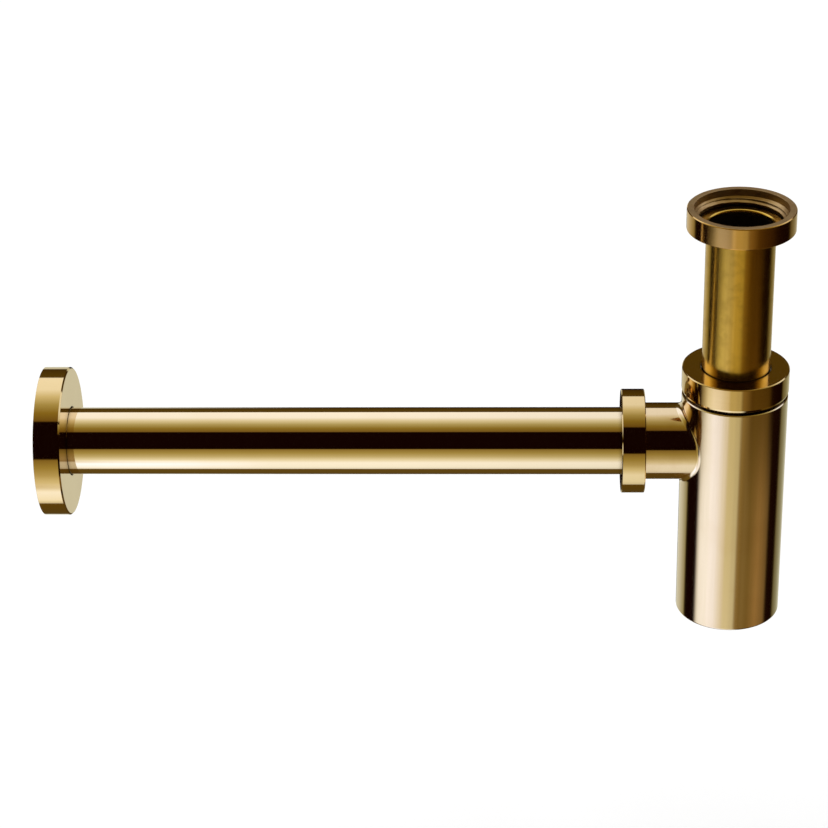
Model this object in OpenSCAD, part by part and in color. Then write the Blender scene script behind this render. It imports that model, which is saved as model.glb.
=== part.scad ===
// Bottle trap for a wash basin: inlet nut and dip tube, bottle with side branch,
// outlet pipe and wall flange. Millimetres, +Z up, the outlet runs along -X.
// The origin is the centre of the inlet's sealing face, on the lip of the inlet tube.

/* [Tubes] */
// Outside diameter of the inlet tube
inlet_tube_d = 32; // [30:0.5:36]
// Outside diameter of the outlet pipe
outlet_pipe_d = 32; // [30:0.5:33]
// Wall of the inlet tube
inlet_tube_wall = 1; // [0.8:0.1:2]
// Wall of the outlet pipe
outlet_pipe_wall = 1; // [0.8:0.1:2]
// Length of the outlet pipe
outlet_pipe_length = 300; // [150:1:500]
// Height of the inlet's sealing face above the outlet axis
inlet_height = 112.6; // [95:0.1:170]
// Depth of the dip tube's end below the outlet axis
dip_depth = 70; // [55:0.5:80]
// Chamfer on the cut ends of the tubes
tube_chamfer = 0.2; // [0.1:0.05:0.4]

/* [Inlet nut] */
// Major diameter of the pipe thread, on the inlet nut and on the branch
pipe_thread_d = 41.91; // [41.5:0.01:46]
// Depth of the pipe thread
pipe_thread_depth = 1.48; // [0.9:0.01:1.6]
// Wall of the inlet nut outside its thread
inlet_nut_wall = 4.05; // [2.5:0.05:6]
// Depth of the sealing face below the nut's mouth
inlet_seat_depth = 7.5; // [6.5:0.1:12]
// Length of the plain relief at the nut's mouth
inlet_relief_length = 4.1; // [1:0.1:4.5]
// Depth of the relief outside the thread
inlet_relief_step = 0.75; // [0.3:0.05:1.2]
// Thickness of the nut's floor, which carries the lip
inlet_nut_floor = 1.45; // [1:0.05:3]
// Thickness of the inlet tube's lip
lip_t = 1.2; // [0.8:0.05:2]
// Clearance of the lip inside the thread's crests
lip_clearance = 0.18; // [0.1:0.01:0.4]
// Fillet under the lip
lip_fillet = 0.2; // [0.1:0.05:0.25]

/* [Bottle] */
// Outside diameter of the bottle
bottle_d = 49.8; // [48:0.1:60]
// Wall of the bottle
bottle_wall = 1.5; // [1.2:0.1:2.5]
// Thickness of the bottle's floor
bottle_floor = 2; // [1.5:0.1:4]
// Depth of the bottle's underside below the outlet axis
bottle_depth = 91; // [90:0.5:120]
// Height of the bottle's shoulder above the outlet axis
shoulder_height = 26; // [24:0.1:40]
// Thickness of the ring that closes the bottle at its shoulder
shoulder_t = 4; // [2.5:0.1:6]
// Round on the bottle's bottom edge
bottle_round = 1; // [0.5:0.1:1.4]

/* [Collar joint] */
// Length of the threaded neck above the shoulder
neck_length = 8.4; // [7:0.1:12]
// Step from the bottle's side in to the neck thread's crests
neck_step = 1.7; // [1.2:0.05:2]
// Depth of the neck thread
neck_thread_depth = 0.9; // [0.5:0.05:1]
// Wall of the collar outside its thread
collar_wall = 1.9; // [1.5:0.05:3]
// Thickness of the collar's top
collar_top_t = 2.2; // [1.5:0.1:4]
// Open gap between the collar's rim and the shoulder
collar_gap = 1.8; // [0.5:0.1:2.5]
// Bevel on the collar's lower edge
collar_bevel = 0.9; // [0.4:0.1:1.2]

/* [Branch and outlet nut] */
// Wall of the branch round the pipe's bore
branch_wall = 1.95; // [1.5:0.05:2.7]
// Length of the branch beyond the bottle's side
branch_length = 23.2; // [20:0.1:35]
// Length of the threaded end of the branch
branch_thread_length = 5.1; // [4:0.1:8]
// Fillet where the branch meets the bottle
branch_fillet = 3.5; // [2:0.1:5]
// Wall of the outlet nut outside its thread
outlet_nut_wall = 3.75; // [2.5:0.05:6]
// Thickness of the outlet nut's face
outlet_nut_face_t = 2.2; // [1.5:0.1:4]
// Length of the outlet nut's skirt over the branch
outlet_nut_skirt = 6; // [5:0.1:9]
// Width of the shoulder that stops the pipe inside the branch
pipe_stop_width = 0.7; // [0.5:0.1:2]
// Distance from the pipe's inner end to its stop
pipe_play = 2; // [1:0.1:5]

/* [Seals] */
// Largest wall of the cone seals, outside the tube
seal_wall = 2.5; // [2:0.1:2.7]
// Wall of the cone seals at the thin end
seal_tip_wall = 0.9; // [0.6:0.1:1.5]
// Depth of the cone seals in their seats
seal_depth = 5; // [4:0.1:7]
// Height of the seals' rim above their seats
seal_rim = 1.6; // [1:0.1:2.5]
// Thickness of the slip rings
slip_ring_t = 1.2; // [0.8:0.1:2]

/* [Wall flange] */
// Outside diameter of the wall flange
flange_d = 71; // [60:0.5:90]
// Depth of the wall flange
flange_depth = 12.4; // [10:0.1:25]
// Thickness of the flange's face
flange_face_t = 2; // [1.2:0.1:3]
// Thickness of the flange's rim
flange_rim_t = 1.6; // [1.2:0.1:3]
// Bevel on the flange's front edge
flange_bevel = 0.7; // [0.3:0.1:1.1]
// Wall of the hub round the pipe
hub_wall = 4; // [3.2:0.1:6]
// Length of the hub behind the face
hub_length = 6.5; // [5:0.1:7.5]
// Cord of the ring that grips the pipe inside the hub
o_ring_cord = 2.3; // [1.8:0.1:2.6]
// Distance from the pipe's end in to the flange's back
pipe_recess = 1; // [0.5:0.1:3]

/* [Clearances] */
// Radial clearance of the nuts and the flange round their tubes
nut_clearance = 0.5; // [0.3:0.05:0.8]
// Radial clearance of the tubes in the bottle's bores
bore_clearance = 0.25; // [0.1:0.05:0.4]
// Clearance of seals, slip rings and seats, all round
seat_clearance = 0.05; // [0.02:0.01:0.1]
// Small chamfer on turned edges
edge_chamfer = 0.4; // [0.2:0.05:0.5]

/* [Hidden] */
$fn = 96;

polished = "#c9a24d";
satin = "#b08d48";
rubber = "#26241f";
nylon = "#dcd6c4";

inlet_r = inlet_tube_d / 2;
pipe_r = outlet_pipe_d / 2;
pipe_thread_r = pipe_thread_d / 2;
pipe_core_r = pipe_thread_r - pipe_thread_depth;
lip_r = pipe_core_r - lip_clearance;
bottle_r = bottle_d / 2;
neck_thread_r = bottle_r - neck_step;
neck_core_r = neck_thread_r - neck_thread_depth;
branch_r = pipe_r + bore_clearance + branch_wall;
branch_end = bottle_r + branch_length;
pipe_stop = bottle_r + pipe_stop_width;
pipe_start = pipe_stop + pipe_play;
flange_back = pipe_start + outlet_pipe_length + pipe_recess;

// Heights above the outlet axis
neck_top = shoulder_height + neck_length;
stack = seal_rim + slip_ring_t + 2 * seat_clearance;
collar_top = neck_top + stack + collar_top_t;
dip_end = -dip_depth;
lip_top = inlet_height;

// Fillet ring: stations round the branch and steps along the arc of each
fillet_stations = 72;
fillet_steps = 7;
fillet_sink = 0.06;

// How far a cut runs past the face it opens, and how far a seat runs past its seal
over = 1;
seat_relief = 4 * seat_clearance;

// Turns an outline of [radius, height] points about Z.
module turned(points) {
    rotate_extrude() polygon(points);
}

// Places children made about Z so that their height runs out along -X from the bottle's axis.
module along_outlet() {
    rotate([0, -90, 0]) children();
}

// Puts children drawn from the outlet axis at their place below the sealing face.
module at_outlet_height() {
    translate([0, 0, -inlet_height]) children();
}

// A nut turned from bar: a face with a hole, and a skirt with a plain bore for the thread.
module compression_nut(outer_r, hole_r, bore_r, face_t, depth, rim_bevel) {
    lead = edge_chamfer;
    turned([
        [hole_r, depth], [outer_r - edge_chamfer, depth], [outer_r, depth - edge_chamfer],
        [outer_r, rim_bevel], [outer_r - rim_bevel, 0], [bore_r + lead, 0], [bore_r, lead],
        [bore_r, depth - face_t], [hole_r, depth - face_t]
    ]);
}

// A flat ring between a nut's face and its seal, with a chamfer on all four edges.
module slip_ring(tube_r, outer_r) {
    c = slip_ring_t / 6;
    inner_r = tube_r + bore_clearance;
    turned([
        [inner_r, c], [inner_r + c, 0], [outer_r - c, 0], [outer_r, c],
        [outer_r, slip_ring_t - c], [outer_r - c, slip_ring_t],
        [inner_r + c, slip_ring_t], [inner_r, slip_ring_t - c]
    ]);
}

// A cone seal, with height 0 at the mouth of its seat.
module cone_seal(tube_r) {
    inner_r = tube_r + seat_clearance;
    turned([
        [inner_r, -seal_depth], [tube_r + seal_tip_wall, -seal_depth], [tube_r + seal_wall, 0],
        [tube_r + seal_wall, seal_rim], [inner_r, seal_rim]
    ]);
}

// The bore of a neck: a seat for a cone seal at its mouth, then a running bore down to a depth.
module seal_seat(tube_r, depth) {
    mouth_r = tube_r + seal_wall + seat_clearance;
    tip_r = tube_r + seal_tip_wall + seat_clearance;
    bore_r = tube_r + bore_clearance;
    foot = seal_depth + seat_relief;
    turned([
        [0, -depth], [bore_r, -depth], [bore_r, -foot], [tip_r, -foot], [tip_r, -seal_depth],
        [mouth_r, 0], [mouth_r, over], [0, over]
    ]);
}

module inlet_nut() {
    outer_r = pipe_thread_r + inlet_nut_wall;
    relief_r = pipe_thread_r + inlet_relief_step;
    hole_r = inlet_r + nut_clearance;
    top = inlet_seat_depth;
    floor_top = -lip_t - seat_clearance;
    bottom = floor_top - inlet_nut_floor;
    relief_end = top - inlet_relief_length;
    c = edge_chamfer;
    color(polished) turned([
        [hole_r, bottom], [outer_r - c, bottom], [outer_r, bottom + c], [outer_r, top - c],
        [outer_r - c, top], [relief_r, top], [relief_r, relief_end + inlet_relief_step],
        [pipe_thread_r, relief_end], [pipe_thread_r, 0], [relief_r, 0], [relief_r, floor_top],
        [hole_r, floor_top]
    ]);
}

// The tube and its turned-out lip are one piece: the lip's mouth is a quarter round.
module inlet_tube() {
    bore_r = inlet_r - inlet_tube_wall;
    round_r = inlet_tube_wall;
    foot = dip_end - lip_top;
    c = tube_chamfer;
    color(satin) rotate_extrude() {
        polygon([
            [bore_r, foot + c], [bore_r + c, foot], [inlet_r - c, foot], [inlet_r, foot + c],
            [inlet_r, -round_r], [bore_r, -round_r]
        ]);
        intersection() {
            translate([inlet_r, -round_r]) circle(round_r);
            translate([bore_r, -round_r]) square([round_r, round_r]);
        }
        translate([inlet_r, -lip_t]) square([lip_r - inlet_r, lip_t]);
        difference() {
            translate([inlet_r, -lip_t - lip_fillet]) square(lip_fillet);
            translate([inlet_r + lip_fillet, -lip_t - lip_fillet]) circle(lip_fillet);
        }
    }
}

module collar_nut() {
    depth = collar_top - shoulder_height - collar_gap;
    color(polished) at_outlet_height() translate([0, 0, collar_top - depth])
        compression_nut(neck_thread_r + collar_wall, inlet_r + nut_clearance, neck_thread_r,
                        collar_top_t, depth, collar_bevel);
}

module collar_slip_ring() {
    color(nylon) at_outlet_height() translate([0, 0, neck_top + seal_rim + seat_clearance])
        slip_ring(inlet_r, neck_core_r);
}

module collar_seal() {
    color(rubber) at_outlet_height() translate([0, 0, neck_top]) cone_seal(inlet_r);
}

// A point of the fillet between the branch and the bottle. The ball that would roll in the
// corner touches the branch at angle a round its axis; t runs from there to the bottle.
function ball_centre(a) = let (
        r = branch_r + branch_fillet,
        y = r * cos(a),
        x = sqrt(pow(bottle_r + branch_fillet, 2) - y * y)
    ) [-x, y, r * sin(a)];
function fillet_point(a, t) = let (
        c = ball_centre(a),
        to_branch = [0, -cos(a), -sin(a)],
        to_bottle = -[c[0], c[1], 0] / (bottle_r + branch_fillet),
        turn = acos(to_branch * to_bottle),
        way = (sin((1 - t) * turn) * to_branch + sin(t * turn) * to_bottle) / sin(turn)
    ) c + branch_fillet * way;

// The same place on the branch or the bottle, sunk a little into its wall.
function sunk_in_branch(p, a, depth) = p - depth * [0, cos(a), sin(a)];
function sunk_in_bottle(p, depth) = p - depth * [p[0], p[1], 0] / norm([p[0], p[1]]);

// One section of the fillet: its arc, closed by a corner inside the two walls.
function fillet_section(a) = let (
        branch_foot = fillet_point(a, 0),
        bottle_foot = fillet_point(a, 1),
        inner_r = branch_r - bottle_wall / 2,
        inner_y = inner_r * cos(a),
        inner_x = sqrt(pow(bottle_r - bottle_wall / 2, 2) - inner_y * inner_y)
    ) concat(
        [sunk_in_branch(branch_foot, a, bottle_wall / 2)],
        [sunk_in_branch(branch_foot, a, fillet_sink)],
        [for (i = [1 : fillet_steps - 1]) fillet_point(a, i / fillet_steps)],
        [sunk_in_bottle(bottle_foot, fillet_sink)],
        [sunk_in_bottle(bottle_foot, bottle_wall / 2)],
        [[-inner_x, inner_y, inner_r * sin(a)]]
    );

module branch_fillet_ring() {
    sides = fillet_steps + 4;
    points = [for (s = [0 : fillet_stations - 1]) each fillet_section(360 * s / fillet_stations)];
    faces = [for (s = [0 : fillet_stations - 1], i = [0 : sides - 1]) let (
        here = s * sides,
        next = ((s + 1) % fillet_stations) * sides,
        j = (i + 1) % sides
    ) each [[here + i, here + j, next + j], [here + i, next + j, next + i]]];
    polyhedron(points, faces);
}

module bottle_outside() {
    c = edge_chamfer;
    low = -bottle_depth;
    rotate_extrude() {
        polygon([
            [0, low + bottle_round], [bottle_r, low + bottle_round], [bottle_r, shoulder_height - c],
            [bottle_r - c, shoulder_height], [neck_core_r, shoulder_height],
            [neck_core_r, neck_top - c], [neck_core_r - c, neck_top], [0, neck_top]
        ]);
        translate([0, low]) square([bottle_r - bottle_round, bottle_round]);
        intersection() {
            translate([bottle_r - bottle_round, low + bottle_round]) circle(bottle_round);
            translate([bottle_r - bottle_round, low]) square(bottle_round);
        }
    }
}

module branch_outside() {
    r = branch_r;
    c = edge_chamfer;
    root = bottle_r / 2;
    thread_start = branch_end - branch_thread_length;
    along_outlet() turned([
        [0, root], [r, root], [r, thread_start], [pipe_core_r - c, thread_start],
        [pipe_core_r, thread_start + c], [pipe_core_r, branch_end - c],
        [pipe_core_r - c, branch_end], [0, branch_end]
    ]);
}

module bottle_inside() {
    r = bottle_r - bottle_wall;
    low = bottle_floor - bottle_depth;
    translate([0, 0, low]) cylinder(h = shoulder_height - shoulder_t - low, r = r);
    translate([0, 0, neck_top]) seal_seat(inlet_r, neck_length + shoulder_t + over);
}

module branch_inside() {
    along_outlet() {
        translate([0, 0, branch_end]) seal_seat(pipe_r, branch_end - pipe_stop);
        cylinder(h = branch_end, r = pipe_r - outlet_pipe_wall - bore_clearance);
    }
}

module bottle_body() {
    color(satin) at_outlet_height() difference() {
        union() {
            bottle_outside();
            branch_outside();
            branch_fillet_ring();
        }
        bottle_inside();
        branch_inside();
    }
}

module outlet_nut() {
    depth = outlet_nut_skirt + stack + outlet_nut_face_t;
    color(polished) at_outlet_height() along_outlet()
        translate([0, 0, branch_end - outlet_nut_skirt])
            compression_nut(pipe_thread_r + outlet_nut_wall, pipe_r + nut_clearance, pipe_thread_r,
                            outlet_nut_face_t, depth, edge_chamfer);
}

module outlet_slip_ring() {
    color(nylon) at_outlet_height() along_outlet()
        translate([0, 0, branch_end + seal_rim + seat_clearance]) slip_ring(pipe_r, pipe_core_r);
}

module outlet_seal() {
    color(rubber) at_outlet_height() along_outlet()
        translate([0, 0, branch_end]) cone_seal(pipe_r);
}

module outlet_pipe() {
    bore_r = pipe_r - outlet_pipe_wall;
    end = pipe_start + outlet_pipe_length;
    c = tube_chamfer;
    color(polished) at_outlet_height() along_outlet() turned([
        [bore_r, pipe_start + c], [bore_r + c, pipe_start], [pipe_r - c, pipe_start],
        [pipe_r, pipe_start + c], [pipe_r, end - c], [pipe_r - c, end], [bore_r + c, end],
        [bore_r, end - c]
    ]);
}

// The flange is a shallow cup with its open side to the wall and a hub round the pipe.
module wall_flange() {
    r = flange_d / 2;
    hole_r = pipe_r + nut_clearance;
    hub_r = hole_r + hub_wall;
    front = flange_back - flange_depth;
    face_back = front + flange_face_t;
    hub_end = face_back + hub_length;
    groove_r = pipe_r + o_ring_cord + 2 * seat_clearance;
    groove_half = o_ring_cord / 2 + seat_clearance;
    groove_mid = face_back + hub_length / 2;
    b = flange_bevel;
    c = edge_chamfer / 2;
    color(polished) at_outlet_height() along_outlet() turned([
        [hole_r + c, front], [r - b, front], [r, front + b], [r, flange_back],
        [r - flange_rim_t, flange_back], [r - flange_rim_t, face_back], [hub_r, face_back],
        [hub_r, hub_end], [hole_r, hub_end], [hole_r, groove_mid + groove_half],
        [groove_r, groove_mid + groove_half], [groove_r, groove_mid - groove_half],
        [hole_r, groove_mid - groove_half], [hole_r, front + c]
    ]);
}

module flange_o_ring() {
    mid = flange_back - flange_depth + flange_face_t + hub_length / 2;
    cord_r = o_ring_cord / 2;
    color(rubber) at_outlet_height() along_outlet() translate([0, 0, mid])
        rotate_extrude() translate([pipe_r + seat_clearance + cord_r, 0]) circle(cord_r);
}

inlet_nut();
inlet_tube();
collar_nut();
collar_slip_ring();
collar_seal();
bottle_body();
outlet_nut();
outlet_slip_ring();
outlet_seal();
outlet_pipe();
wall_flange();
flange_o_ring();
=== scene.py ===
"""Looks of a wash basin's bottle trap: turned brass pieces, their threads and seals, and the studio.

Outlines are in millimetres, and meshes in metres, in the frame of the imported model: +Z up the bottle's
axis, the outlet along -X, and the origin at the centre of the inlet's sealing face.
"""

from __future__ import annotations

import logging
import math
from dataclasses import dataclass
from enum import Enum, IntEnum
from typing import Optional, Sequence

import bpy
from mathutils import Matrix, Vector

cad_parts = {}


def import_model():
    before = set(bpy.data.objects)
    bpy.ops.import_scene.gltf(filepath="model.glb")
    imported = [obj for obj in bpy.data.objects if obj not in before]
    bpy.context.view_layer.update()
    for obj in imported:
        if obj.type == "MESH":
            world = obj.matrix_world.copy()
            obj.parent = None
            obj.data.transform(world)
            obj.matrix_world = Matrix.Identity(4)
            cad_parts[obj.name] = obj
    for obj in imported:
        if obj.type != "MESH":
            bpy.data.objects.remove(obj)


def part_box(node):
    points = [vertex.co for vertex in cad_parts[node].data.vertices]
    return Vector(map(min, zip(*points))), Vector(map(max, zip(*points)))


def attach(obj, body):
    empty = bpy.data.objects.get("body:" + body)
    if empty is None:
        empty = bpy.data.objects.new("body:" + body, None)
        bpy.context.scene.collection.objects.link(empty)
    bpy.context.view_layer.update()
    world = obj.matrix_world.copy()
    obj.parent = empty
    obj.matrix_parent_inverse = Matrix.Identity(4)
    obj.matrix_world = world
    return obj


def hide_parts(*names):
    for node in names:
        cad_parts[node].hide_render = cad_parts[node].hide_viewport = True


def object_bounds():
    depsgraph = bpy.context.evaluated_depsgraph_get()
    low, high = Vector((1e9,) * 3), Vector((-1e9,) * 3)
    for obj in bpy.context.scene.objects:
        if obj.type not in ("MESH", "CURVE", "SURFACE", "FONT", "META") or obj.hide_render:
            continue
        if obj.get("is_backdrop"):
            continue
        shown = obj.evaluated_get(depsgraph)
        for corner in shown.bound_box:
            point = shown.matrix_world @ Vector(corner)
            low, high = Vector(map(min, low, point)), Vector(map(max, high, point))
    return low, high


LOG = logging.getLogger("bottle_trap")

MM = 0.001
TAU = 2 * math.pi
COLUMNS = 192
CIRCLE = [TAU * i / COLUMNS for i in range(COLUMNS + 1)]
ARC_STEP = math.radians(15)
TINY = 1e-6

Colour = tuple[float, float, float]
Pair = tuple[float, float]
Rgba = tuple[float, float, float, float]
Spot = tuple[Vector, Vector]
Socket = bpy.types.NodeSocket


class Slot(Enum):
    """The record's material slots."""

    POLISHED = "polished_metal"
    SATIN = "satin_metal"
    RUBBER = "rubber"
    NYLON = "nylon"


class Coat(IntEnum):
    """Which of a piece's two finishes a face has."""

    MAIN = 0
    OTHER = 1


@dataclass(frozen=True)
class Axle:
    """A line that pieces are turned about.

    Args:
        centre: a point on the line, in millimetres.
        along: the unit vector in which heights grow.
        across: the unit vector at angle 0.
    """

    centre: Vector
    along: Vector
    across: Vector

    def direction(self, radial: float, angle: float, along: float) -> Vector:
        """The vector with these radial and axial parts at an angle round the line."""
        third = self.along.cross(self.across)
        return (self.across * math.cos(angle) + third * math.sin(angle)) * radial + self.along * along

    def point(self, radius: float, angle: float, height: float) -> Vector:
        """The place at a radius, angle and height, in millimetres."""
        return self.centre + self.direction(radius, angle, height)

    def spot(self, radius: float, angle: float, height: float, outward: float) -> Spot:
        """A place on a straight wall and its normal, with outward 1 for an outer wall and -1 for a bore."""
        return self.point(radius, angle, height), self.direction(outward, angle, 0)


@dataclass(frozen=True)
class Span:
    """What a turned node of the frame takes up about its axle, in millimetres."""

    radius: float
    low: float
    high: float

    @classmethod
    def of(cls, node: str, axle: Axle) -> Span:
        """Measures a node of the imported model.

        Args:
            node: the node's name.
            axle: the line that it is turned about.

        Returns:
            Its outer radius and its two ends along the axle.
        """
        corners = [corner / MM - axle.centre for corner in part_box(node)]
        heights = sorted(corner.dot(axle.along) for corner in corners)
        radius = abs((corners[1] - corners[0]).y) / 2
        return cls(radius, heights[0], heights[1])


@dataclass(frozen=True)
class Corner:
    """A corner of an outline.

    Args:
        radius: its distance from the axle.
        height: its height along the axle.
        round: radius of the arc that rounds it.
        coat: the finish of the wall that starts at it.
    """

    radius: float
    height: float
    round: float = 0.0
    coat: Coat = Coat.MAIN


@dataclass(frozen=True)
class Stretch:
    """A short straight bit of an outline with the surface's normal at its two ends."""

    start: Pair
    end: Pair
    start_normal: Pair
    end_normal: Pair
    coat: Coat = Coat.MAIN


@dataclass(frozen=True)
class Thread:
    """A right-handed helical ridge on a straight turned wall.

    Args:
        pitch: height gained in one turn.
        depth: how far the ridge stands out of a neck, or into a bore where it is negative.
        low: where the ridge starts.
        high: where it ends.
        phase: part of a turn by which the ridge is set off.
        runout: how fast its ends fade, in millimetres of depth for each millimetre of height.
        crest: how flat the ridge is cut; 1 is a sharp ridge.
        rows_per_pitch: rows of the mesh in one turn.
    """

    pitch: float
    depth: float
    low: float
    high: float
    phase: float = 0.0
    runout: float = 2.0
    crest: float = 1.25
    rows_per_pitch: int = 16

    def lift(self, angle: float, height: float) -> float:
        """How far the wall moves outward at an angle and height."""
        turn = (height / self.pitch - angle / TAU + self.phase) % 1
        ridge = min(1.0, max(0.0, (abs(2 * turn - 1) - 0.5) * self.crest + 0.5))
        room = max(0.0, min(height - self.low, self.high - height)) * self.runout
        return math.copysign(min(abs(self.depth) * ridge, room), self.depth)

    def rows(self) -> list[float]:
        """The heights of the mesh rows that follow the ridge."""
        count = math.ceil((self.high - self.low) / self.pitch * self.rows_per_pitch)
        return [self.low + (self.high - self.low) * i / count for i in range(count + 1)]


def unit(vector: Pair) -> Pair:
    """A plane vector at length 1."""
    length = math.hypot(*vector)
    return vector[0] / length, vector[1] / length


def arc_at(before: Corner, corner: Corner, after: Corner) -> list[Stretch]:
    """Rounds one corner of an outline.

    Args:
        before: the corner before it.
        corner: the corner to round.
        after: the corner after it.

    Returns:
        The stretches of its arc, or one stretch of no length where it stays sharp.
    """
    into = unit((corner.radius - before.radius, corner.height - before.height))
    out = unit((after.radius - corner.radius, after.height - corner.height))
    normal_in, normal_out = (into[1], -into[0]), (out[1], -out[0])
    turn = math.atan2(into[0] * out[1] - into[1] * out[0], into[0] * out[0] + into[1] * out[1])
    here = (corner.radius, corner.height)
    if corner.round == 0 or abs(turn) < TINY:
        return [Stretch(here, here, normal_in, normal_out, corner.coat)]
    back = corner.round * math.tan(abs(turn) / 2)
    side = math.copysign(corner.round, turn)
    middle = [here[i] - into[i] * back - normal_in[i] * side for i in (0, 1)]
    steps = max(2, math.ceil(abs(turn) / ARC_STEP))
    start = math.atan2(normal_in[1], normal_in[0])
    normals = [
        (math.cos(start + turn * i / steps), math.sin(start + turn * i / steps))
        for i in range(steps + 1)
    ]
    spots = [(middle[0] + n[0] * side, middle[1] + n[1] * side) for n in normals]
    return [
        Stretch(spots[i], spots[i + 1], normals[i], normals[i + 1], corner.coat) for i in range(steps)
    ]


def trace(corners: Sequence[Corner], closed: bool = True) -> list[Stretch]:
    """Follows an outline that runs anticlockwise round its metal.

    Args:
        corners: the outline's corners, with the radius to the right and the height up.
        closed: whether the last corner joins the first.

    Returns:
        Its stretches in order.
    """
    count = len(corners)
    arcs = []
    for i, corner in enumerate(corners):
        if closed or 0 < i < count - 1:
            arcs.append(arc_at(corners[i - 1], corner, corners[(i + 1) % count]))
        else:
            here = (corner.radius, corner.height)
            arcs.append([Stretch(here, here, (1, 0), (1, 0), corner.coat)])
    stretches = []
    for i in range(count if closed else count - 1):
        start, end = arcs[i][-1].end, arcs[(i + 1) % count][0].start
        stretches += [s for s in arcs[i] if s.start != s.end]
        if math.dist(start, end) > TINY:
            way = unit((end[0] - start[0], end[1] - start[1]))
            normal = (way[1], -way[0])
            stretches.append(Stretch(start, end, normal, normal, corners[i].coat))
    if not closed:
        stretches += [s for s in arcs[-1] if s.start != s.end]
    return stretches


class Skin:
    """Collects faces that share their corners and carry exact normals."""

    def __init__(self) -> None:
        """Starts with no faces."""
        self.places: dict[tuple[float, float, float], int] = {}
        self.points: list[Vector] = []
        self.faces: list[list[int]] = []
        self.coats: list[Coat] = []
        self.normals: list[Vector] = []

    def corner(self, point: Vector) -> int:
        """The number of the vertex at a place in millimetres, which is made if it is new."""
        key = (round(point.x, 5) + 0.0, round(point.y, 5) + 0.0, round(point.z, 5) + 0.0)
        if key not in self.places:
            self.places[key] = len(self.points)
            self.points.append(point * MM)
        return self.places[key]

    def add(self, ring: Sequence[Spot], coat: Coat = Coat.MAIN) -> None:
        """Adds one face and turns it the way that its normals point.

        Args:
            ring: the face's corners in order, each with its normal.
            coat: the face's finish.
        """
        kept: list[tuple[int, Vector]] = []
        for point, normal in ring:
            number = self.corner(point)
            if number not in [k[0] for k in kept]:
                kept.append((number, normal))
        if len(kept) < 3:
            return
        a, b, c = (self.points[kept[i][0]] for i in (0, 1, 2))
        if (b - a).cross(c - a).dot(sum((n for _, n in kept), Vector())) < 0:
            kept.reverse()
        self.faces.append([number for number, _ in kept])
        self.coats.append(coat)
        self.normals += [normal for _, normal in kept]

    def strip(self, near: Sequence[Spot], far: Sequence[Spot], coat: Coat = Coat.MAIN) -> None:
        """Joins two rows of corners with faces."""
        for i in range(len(near) - 1):
            self.add([near[i], near[i + 1], far[i + 1], far[i]], coat)

    def web(self, rows: Sequence[Sequence[Spot]], coat: Coat = Coat.MAIN) -> None:
        """Joins each row of corners to the next one with faces."""
        for near, far in zip(rows, rows[1:]):
            self.strip(near, far, coat)

    def turn(
        self, axle: Axle, corners: Sequence[Corner], closed: bool = False, angles: Sequence[float] = CIRCLE
    ) -> None:
        """Turns an outline about an axle.

        Args:
            axle: the line to turn about.
            corners: the outline's corners.
            closed: whether the last corner joins the first.
            angles: the angles of the mesh's columns.
        """
        for s in trace(corners, closed):
            near, far = (
                [
                    (axle.point(spot[0], angle, spot[1]), axle.direction(n[0], angle, n[1]))
                    for angle in angles
                ]
                for spot, n in ((s.start, s.start_normal), (s.end, s.end_normal))
            )
            self.strip(near, far, s.coat)

    def wind(
        self,
        axle: Axle,
        radius: float,
        thread: Thread,
        angles: Sequence[float] = CIRCLE,
        coat: Coat = Coat.MAIN,
    ) -> None:
        """Cuts a thread on a straight wall.

        Args:
            axle: the line that the thread winds round.
            radius: the wall's own radius.
            thread: the ridge on it.
            angles: the angles of the mesh's columns.
            coat: the wall's finish.
        """
        nudge = 0.01
        outward = math.copysign(1, thread.depth)

        def spot(angle: float, height: float) -> Spot:
            """The place and normal of the threaded wall."""
            at = radius + thread.lift(angle, height)
            gain = thread.lift(angle + nudge, height) - thread.lift(angle - nudge, height)
            round_slope = gain / (2 * nudge)
            climb = thread.lift(angle, height + nudge) - thread.lift(angle, height - nudge)
            rise_slope = climb / (2 * nudge)
            normal = axle.direction(1, angle, -rise_slope)
            normal -= axle.direction(1, angle + TAU / 4, 0) * (round_slope / at)
            return axle.point(at, angle, height), normal.normalized() * outward

        self.web([[spot(angle, height) for angle in angles] for height in thread.rows()], coat)

    def build(self, name: str) -> bpy.types.Object:
        """Makes the mesh object.

        Args:
            name: the piece's name.

        Returns:
            The object, in the scene and in metres.
        """
        mesh = bpy.data.meshes.new(name)
        mesh.from_pydata([tuple(p) for p in self.points], [], self.faces)
        mesh.shade_smooth()
        mesh.polygons.foreach_set("material_index", self.coats)
        mesh.normals_split_custom_set([tuple(n.normalized()) for n in self.normals])
        mesh.update()
        piece = bpy.data.objects.new(name, mesh)
        bpy.context.scene.collection.objects.link(piece)
        return piece


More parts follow.
